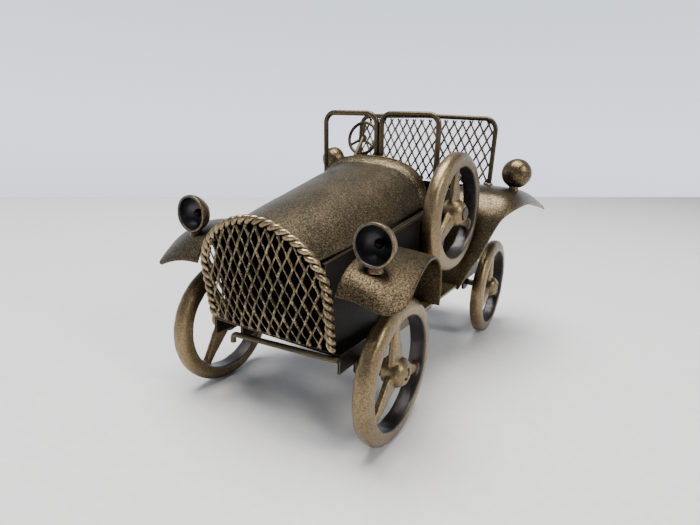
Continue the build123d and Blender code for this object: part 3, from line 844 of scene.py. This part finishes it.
def inside_cup(middle, radius):
    """How far a point is down inside a lamp's cup."""
    def share(vertex):
        depth = radius - (vertex.co - middle).length
        return smooth_step(depth / (0.35 * MM))
    return share


def make_lamps():
    for name, back in (("headlamp", 1), ("rear_lamp", -1)):
        for side, sign in SIDES:
            node = f"{name}_{side}"
            low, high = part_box(node)
            radius = (high[2] - low[2]) / 2 - 0.3 * MM
            rim_y = low[1] + LAMP_LIP if back > 0 else high[1] - LAMP_LIP
            turn = Matrix.Rotation(math.radians(90 * back), 4, "Z")
            place = Matrix.Translation((centre(node).x, rim_y, centre(node).z)) @ turn
            verts, faces = lathe(cup_profile(radius, LAMP_WALL, LAMP_LIP), 56, place)
            cup = add_piece(node + "_cup", verts, faces, material=LAMP_BRONZE,
                            replaces=[node])
            roughen(cup, 0.1 * MM, 420, seed=sign + back * 2)
            # Paints shade in a dark blue-grey down inside the cup.
            mark_painted_shade(cup, inside_cup(Vector(place.translation), radius - 0.2 * MM))
        make_bulbs(name, back)


def make_bulbs(name, back):
    node = name + "_bulbs"
    low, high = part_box(node)
    depth = high[1] - low[1]
    parts = []
    for sign in (1, -1):
        x = sign * (high[0] - (high[2] - low[2]) / 2)
        tip = low[1] if back > 0 else high[1]
        turn = Matrix.Rotation(math.radians(90 * back), 4, "Z")
        place = Matrix.Translation((x, tip, (low[2] + high[2]) / 2)) @ turn
        parts.append(lathe([(a * depth, r * depth * 0.9) for a, r in BULB_PROFILE], 28, place))
    verts, faces = merge(parts)
    # Painted shade: the bulbs are near black because they sit in shade inside the cups.
    add_piece(name + "_bulb_pair", verts, faces, material=PAINTED_SHADE_SHEET, replaces=[node])


# ---- solder at the joints ----

SOLDER_WOBBLE = 0.3
COLLAR_HEIGHT_SHARE = 0.62
COLLAR_PROFILE = [(0.0, 0.02), (0.0, 0.9), (0.12, 0.98), (0.35, 0.9), (0.6, 0.82), (0.85, 0.8), (1.0, 0.8),
                  (1.0, 0.02)]


def make_solder(name, places, seed):
    """Small lumps of solder where wires and posts are joined to the sheet."""
    parts = []
    for n, (p, r) in enumerate(places):
        ball = bmesh.new()
        bmesh.ops.create_icosphere(ball, subdivisions=3, radius=1.0)
        verts = []
        for v in ball.verts:
            wobble = 1 + SOLDER_WOBBLE * noise.noise(v.co * 1.9 + Vector((seed + n * 3.1, 0, 0)))
            verts.append(Vector(p) + Vector((v.co.x * r, v.co.y * r, v.co.z * r * 0.6)) * wobble)
        faces = [tuple(v.index for v in f.verts) for f in ball.faces]
        ball.free()
        parts.append((verts, faces))
    verts, faces = merge(parts)
    add_piece(name, verts, faces, material=WIRE_BRONZE)


def make_collars():
    """Short waisted collars of solder that hold the lamps on the fenders."""
    upright = Matrix.Rotation(-math.pi / 2, 4, "Y")
    for node in ("headlamp_posts", "rear_lamp_posts"):
        low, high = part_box(node)
        wide = (high[1] - low[1]) / 2
        deep = (high[2] - low[2]) * COLLAR_HEIGHT_SHARE
        parts = []
        for sign in (1, -1):
            foot = Vector((sign * (high[0] - wide), (low[1] + high[1]) / 2, low[2]))
            place = Matrix.Translation(foot) @ upright
            parts.append(lathe([(a * deep, r * wide) for a, r in COLLAR_PROFILE], 32, place))
        verts, faces = merge(parts)
        collars = add_piece(node + "_collars", verts, faces, material=LAMP_BRONZE,
                            replaces=[node])
        roughen(collars, 0.12 * MM, 700, seed=3)


def make_joints():
    low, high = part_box("seat_back_frame")
    feet = [((sign * (high[0] - 1.0 * MM), (low[1] + high[1]) / 2, low[2] + 0.3 * MM), 1.6 * MM)
            for sign in (1, -1)]
    make_solder("seat_frame_solder", feet, seed=5)
    feet = []
    for side, sign in SIDES:
        low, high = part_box("windshield_frame_" + side)
        outer = high[0] if sign > 0 else low[0]
        feet.append(((outer - sign * 1.0 * MM, high[1] - 1.0 * MM, low[2] + 0.2 * MM), 1.5 * MM))
    make_solder("windshield_solder", feet, seed=8)


# ---- CAD parts that keep their shape ----

BEVEL_FROM, SHARP_FROM = math.radians(40), math.radians(38)


def finish_cad_nodes():
    groups = (
        # Painted shade: these parts sit in shade under and inside the car and are given the near-black sheet.
        (PAINTED_SHADE_SHEET, 0.25, ("chassis", "dashboard", "engine_wall_left", "engine_wall_right", "tub_side_left",
                            "tub_side_right", "rear_panel", "seat_bench", "front_axle_hangers",
                            "rear_axle_hangers", "front_axle_spacers", "rear_axle_spacers")),
        (REAR_BRONZE, 0.25, ("running_board_left", "running_board_right", "hood_ledge_left",
                             "hood_ledge_right")),
        (WIRE_BRONZE, 0.15, ("front_bar", "windshield_frame_left", "windshield_frame_right",
                             "windshield_tab", "seat_back_frame", "steering_rim", "steering_spokes",
                             "steering_column", "front_axle", "rear_axle", "spare_stud", "spare_nut")),
    )
    for material, width, names in groups:
        for name in names:
            node = NODES[name]
            node.data.materials.clear()
            node.data.materials.append(material)
            bevel = node.modifiers.new("soft_edges", "BEVEL")
            bevel.width = width * MM
            bevel.segments = 2
            bevel.limit_method = "ANGLE"
            bevel.angle_limit = BEVEL_FROM
            bevel.harden_normals = False
            node.data.polygons.foreach_set("use_smooth", [True] * len(node.data.polygons))
            node.data.set_sharp_from_angle(angle=SHARP_FROM)


# ---- studio ----

# The camera stands this far from the front axle, in millimetres; its angles are in degrees.
CAMERA = Vector((84.27, -117.27, 88.5))
YAW, PITCH, ROLL = 29.8135, 14.7634, 2.9956
FOCAL_SHARE = 466.9 / 700
SENSOR = 36
TABLE_EDGE, TABLE_HALF_EDGE, TABLE_REACH = 0.1403, 0.75, 3


def camera_axes():
    yaw, pitch, roll = (math.radians(a) for a in (YAW, PITCH, ROLL))
    forward = Vector((-math.sin(yaw) * math.cos(pitch), math.cos(yaw) * math.cos(pitch), -math.sin(pitch)))
    level = Vector((math.cos(yaw), math.sin(yaw), 0))
    above = level.cross(forward)
    right = level * math.cos(roll) + above * math.sin(roll)
    up = above * math.cos(roll) - level * math.sin(roll)
    return right, up, forward


def make_camera():
    right, up, forward = camera_axes()
    data = bpy.data.cameras.new("camera")
    data.sensor_width = SENSOR
    data.lens = SENSOR * FOCAL_SHARE
    data.clip_start = 0.005
    data.clip_end = 50
    camera = bpy.data.objects.new("camera", data)
    camera.matrix_world = Matrix((
        (right.x, up.x, -forward.x, CAMERA.x * MM),
        (right.y, up.y, -forward.y, FRONT_AXLE.y + CAMERA.y * MM),
        (right.z, up.z, -forward.z, CAMERA.z * MM),
        (0, 0, 0, 1),
    ))
    bpy.context.scene.collection.objects.link(camera)
    bpy.context.scene.camera = camera


def area_light(name, place, target, width, height, power, colour):
    data = bpy.data.lights.new(name, "AREA")
    data.shape = "RECTANGLE"
    data.size = width
    data.size_y = height
    data.energy = power
    data.color = colour
    light = bpy.data.objects.new(name, data)
    light.location = place
    light.rotation_euler = (Vector(target) - Vector(place)).to_track_quat("-Z", "Y").to_euler()
    bpy.context.scene.collection.objects.link(light)


def floor_point(across, above):
    """Where the line of sight at these picture tangents meets the table."""
    right, up, forward = camera_axes()
    ray = forward + right * across + up * above
    eye = Vector((CAMERA.x * MM, FRONT_AXLE.y + CAMERA.y * MM, CAMERA.z * MM))
    return eye + ray * (-eye.z / ray.z)


def make_table():
    """The table, with its far edge where the picture shows it."""
    table = bpy.data.meshes.new("table")
    left, right = floor_point(-TABLE_HALF_EDGE, TABLE_EDGE), floor_point(TABLE_HALF_EDGE, TABLE_EDGE)
    along = (right - left).normalized()
    toward = Vector((along.y, -along.x, 0)) * TABLE_REACH
    left, right = left - along * TABLE_REACH, right + along * TABLE_REACH
    corners = [left, right, right + toward, left + toward]
    table.from_pydata([tuple(c) for c in corners], [], [(3, 2, 1, 0)])
    table.materials.append(plain_surface("table_top", (0.70, 0.69, 0.68), 0.05, 0.55))
    top = bpy.data.objects.new("table_top", table)
    bpy.context.scene.collection.objects.link(top)


def make_world():
    """A pale room: brightest behind the table's edge, dimmer overhead and behind the camera."""
    world = bpy.data.worlds.new("studio")
    world.use_nodes = True
    nodes, links = world.node_tree.nodes, world.node_tree.links
    nodes.clear()
    place = nodes.new("ShaderNodeTexCoord")
    split = nodes.new("ShaderNodeSeparateXYZ")
    links.new(place.outputs["Generated"], split.inputs["Vector"])
    ramp = nodes.new("ShaderNodeValToRGB")
    stops = ramp.color_ramp
    stops.elements[0].position = 0.0
    stops.elements[0].color = (0.30, 0.29, 0.28, 1)
    stops.elements[1].position = 1.0
    stops.elements[1].color = (0.22, 0.23, 0.25, 1)
    mid = stops.elements.new(0.5)
    mid.color = (1.52, 1.58, 1.82, 1)
    dusk = stops.elements.new(0.76)
    dusk.color = (0.30, 0.32, 0.35, 1)
    high = stops.elements.new(0.64)
    high.color = (1.14, 1.25, 1.42, 1)
    shift = nodes.new("ShaderNodeMapRange")
    shift.inputs["From Min"].default_value = -1
    shift.inputs["From Max"].default_value = 1
    links.new(split.outputs["Z"], shift.inputs["Value"])
    links.new(shift.outputs["Result"], ramp.inputs["Fac"])
    facing = nodes.new("ShaderNodeVectorMath")
    facing.operation = "DOT_PRODUCT"
    links.new(place.outputs["Generated"], facing.inputs[0])
    facing.inputs[1].default_value = camera_axes()[2]
    room = nodes.new("ShaderNodeMapRange")
    room.inputs["From Min"].default_value = -0.7
    room.inputs["From Max"].default_value = 0.4
    room.inputs["To Min"].default_value = 0.4
    links.new(facing.outputs["Value"], room.inputs["Value"])
    background = nodes.new("ShaderNodeBackground")
    links.new(room.outputs["Result"], background.inputs["Strength"])
    links.new(ramp.outputs["Color"], background.inputs["Color"])
    out = nodes.new("ShaderNodeOutputWorld")
    links.new(background.outputs["Background"], out.inputs["Surface"])
    bpy.context.scene.world = world


def make_studio():
    make_table()
    make_world()
    aim = (0, 0, 0.04)
    area_light("ceiling", (-0.08, -0.12, 1.2), aim, 0.8, 0.8, 35.0, (1.0, 0.985, 0.98))
    area_light("window", (1.0, -0.2, 0.7), aim, 0.3, 0.4, 8.0, (1.0, 0.95, 0.88))


make_fenders()
make_hood()
make_rope()
make_grille_mesh()
make_seat_mesh()
make_wheels()
make_axle_ends()
make_lamps()
make_collars()
make_joints()
finish_cad_nodes()
make_camera()
make_studio()
